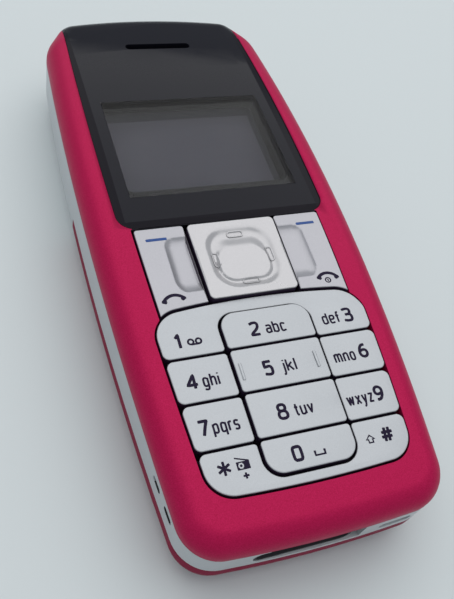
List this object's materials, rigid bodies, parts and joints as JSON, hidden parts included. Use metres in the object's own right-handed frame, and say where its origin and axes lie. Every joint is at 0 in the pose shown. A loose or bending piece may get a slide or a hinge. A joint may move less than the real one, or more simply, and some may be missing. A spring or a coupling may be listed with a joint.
{
  "type": "mobile phone",
  "caption": "Bar mobile phone with a crowned front, wraparound display window, number keys, navigation key and sliding back cover.",
  "frame": {"origin": "middle of the flat back, on the surface that the phone lies on", "axes": "+X to the right seen from the front, +Y towards the earpiece end, +Z out of the keypad"},
  "size_m": [0.0438, 0.1052, 0.0192],
  "materials": {
    "cover": "satin metallic paint",
    "back": "satin metallic paint",
    "band": "silver paint",
    "window": "clear acrylic with a dark printed mask",
    "key": "silver painted keycap",
    "rubber": "matt",
    "black_plastic": "fine grain",
    "clear_plastic": "clear",
    "board": "solder mask",
    "steel": "bright",
    "gold": "plated",
    "glass": "polished",
    "battery": "film wrapped",
    "card": "smooth",
    "tape": "foam"
  },
  "bodies": {
    "casing": {"antenna_carrier": "black_plastic", "antenna_element": "gold", "backup_battery": "steel", "battery": "battery", "battery_connector": "gold", "board_chips": "black_plastic", "board_shields": "steel", "charger_jack": "steel", "chassis": "band", "chassis_screws": "steel", "display_backlight": "clear_plastic", "display_flex": "gold", "display_frame": "black_plastic", "display_gasket": "tape", "display_module": "glass", "display_window": "window", "dome_sheet": "clear_plastic", "earpiece": "black_plastic", "earpiece_gasket": "tape", "earpiece_mesh": "steel", "front_cover": "cover", "headset_jack": "black_plastic", "key_lights": "clear_plastic", "keymat": "rubber", "loudspeaker": "black_plastic", "loudspeaker_mesh": "steel", "main_board": "board", "microphone": "steel", "microphone_boot": "rubber", "port_insert": "black_plastic", "release_spring": "steel", "sim_card": "card", "sim_holder": "steel", "strap_bar": "steel", "vibration_motor": "steel", "window_adhesive": "tape"},
    "left_function_key": {"left_function_key": "key"},
    "right_function_key": {"right_function_key": "key"},
    "navigation_key": {"navigation_key": "key"},
    "navigation_actuator": {"navigation_actuator": "clear_plastic"},
    "navigation_plunger": {"navigation_plunger": "rubber"},
    "key_1_3": {"key_1_3": "key"},
    "key_star_hash": {"key_star_hash": "key"},
    "key_2": {"key_2": "key"},
    "key_4": {"key_4": "key"},
    "key_5": {"key_5": "key"},
    "key_6": {"key_6": "key"},
    "key_7": {"key_7": "key"},
    "key_8": {"key_8": "key"},
    "key_9": {"key_9": "key"},
    "key_0": {"key_0": "key"},
    "vibration_weight": {"vibration_weight": "steel"},
    "back_cover": {"back_cover": "back"},
    "release_button": {"release_button": "band"}
  },
  "joints": [
    {"name": "key_2_press", "type": "slide", "parent": "casing", "child": "key_2", "axis": [0, 0, -1], "range_m": [0, 0.0003], "stiffness_N_per_m": 5000},
    {"name": "key_4_press", "type": "slide", "parent": "casing", "child": "key_4", "axis": [0, 0, -1], "range_m": [0, 0.0003], "stiffness_N_per_m": 5000},
    {"name": "key_5_press", "type": "slide", "parent": "casing", "child": "key_5", "axis": [0, 0, -1], "range_m": [0, 0.0003], "stiffness_N_per_m": 5000},
    {"name": "key_6_press", "type": "slide", "parent": "casing", "child": "key_6", "axis": [0, 0, -1], "range_m": [0, 0.0003], "stiffness_N_per_m": 5000},
    {"name": "key_7_press", "type": "slide", "parent": "casing", "child": "key_7", "axis": [0, 0, -1], "range_m": [0, 0.0003], "stiffness_N_per_m": 5000},
    {"name": "key_8_press", "type": "slide", "parent": "casing", "child": "key_8", "axis": [0, 0, -1], "range_m": [0, 0.0003], "stiffness_N_per_m": 5000},
    {"name": "key_9_press", "type": "slide", "parent": "casing", "child": "key_9", "axis": [0, 0, -1], "range_m": [0, 0.0003], "stiffness_N_per_m": 5000},
    {"name": "key_0_press", "type": "slide", "parent": "casing", "child": "key_0", "axis": [0, 0, -1], "range_m": [0, 0.0003], "stiffness_N_per_m": 5000},
    {"name": "key_1_3_rock", "type": "hinge", "parent": "casing", "child": "key_1_3", "pos_m": [0, -0.0211, 0.0139], "axis": [0, 1, 0], "range_deg": [-1, 1], "stiffness_Nm_per_rad": 1},
    {"name": "key_star_hash_rock", "type": "hinge", "parent": "casing", "child": "key_star_hash", "pos_m": [0, -0.043, 0.0139], "axis": [0, 1, 0], "range_deg": [-1, 1], "stiffness_Nm_per_rad": 1},
    {"name": "left_function_rock", "type": "hinge", "parent": "casing", "child": "left_function_key", "pos_m": [-0.0118, -0.01, 0.0139], "axis": [1, 0, 0], "range_deg": [-1.3, 1.3], "stiffness_Nm_per_rad": 0.3},
    {"name": "right_function_rock", "type": "hinge", "parent": "casing", "child": "right_function_key", "pos_m": [0.0118, -0.01, 0.0139], "axis": [1, 0, 0], "range_deg": [-1.3, 1.3], "stiffness_Nm_per_rad": 0.3},
    {"name": "navigation_press", "type": "slide", "parent": "casing", "child": "navigation_plunger", "axis": [0, 0, -1], "range_m": [0, 0.0003], "stiffness_N_per_m": 5000},
    {"name": "navigation_up_down", "type": "hinge", "parent": "navigation_plunger", "child": "navigation_actuator", "pos_m": [0, -0.01022, 0.01285], "axis": [1, 0, 0], "range_deg": [-1.2, 1.2], "stiffness_Nm_per_rad": 0.2},
    {"name": "navigation_left_right", "type": "hinge", "parent": "navigation_actuator", "child": "navigation_key", "pos_m": [0, -0.01022, 0.01415], "axis": [0, 1, 0], "range_deg": [-1.2, 1.2], "stiffness_Nm_per_rad": 0.2},
    {"name": "back_cover_slide", "type": "slide", "parent": "casing", "child": "back_cover", "axis": [0, -1, 0], "range_m": [0, 0.012]},
    {"name": "release_button_press", "type": "slide", "parent": "casing", "child": "release_button", "axis": [0, 0, 1], "range_m": [0, 0.0008], "stiffness_N_per_m": 1500, "deforming": ["release_spring"]},
    {"name": "vibration_weight_spin", "type": "hinge", "parent": "casing", "child": "vibration_weight", "pos_m": [0.0154, 0.0404, 0.011], "axis": [0, 1, 0], "continuous": true}
  ]
}
